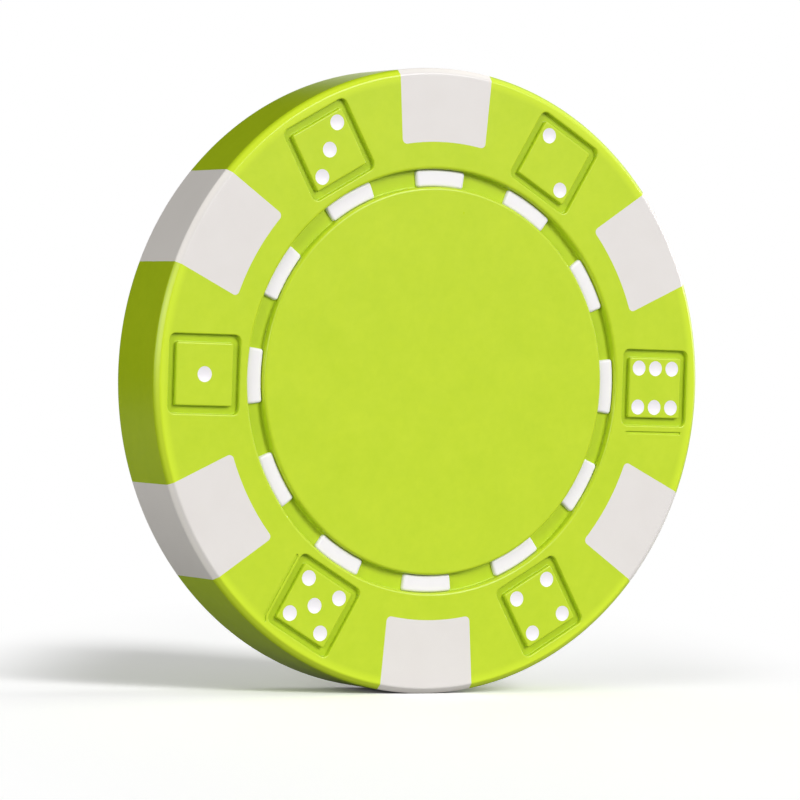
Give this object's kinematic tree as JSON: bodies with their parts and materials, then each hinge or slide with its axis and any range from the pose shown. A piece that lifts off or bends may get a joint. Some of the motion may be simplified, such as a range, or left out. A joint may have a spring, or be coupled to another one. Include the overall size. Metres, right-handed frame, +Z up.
{
  "type": "poker chip",
  "caption": "Round gaming chip of the dice pattern, standing on its rim, with edge spots, a grooved face and a steel weight inside.",
  "frame": {"origin": "on the floor, under the middle of the standing chip", "axes": "+Z up through the top edge spot, Y along the chip's axis with the front face towards -Y, +X to the right seen from the front"},
  "size_m": [0.039, 0.0054, 0.039],
  "materials": {
    "lime_plastic": "satin moulded ABS, lime green, fine mould grain",
    "spot_plastic": "satin moulded ABS, off-white",
    "inlay_plastic": "satin moulded ABS, bright white",
    "slug_steel": "blanked and tumbled mild steel"
  },
  "bodies": {
    "root": {"chip_body": "lime_plastic", "steel_slug": "slug_steel", "edge_spot_1": "spot_plastic", "edge_spot_2": "spot_plastic", "edge_spot_3": "spot_plastic", "edge_spot_4": "spot_plastic", "edge_spot_5": "spot_plastic", "edge_spot_6": "spot_plastic", "front_inlay": "inlay_plastic", "rear_inlay": "inlay_plastic"}
  },
  "joints": []
}
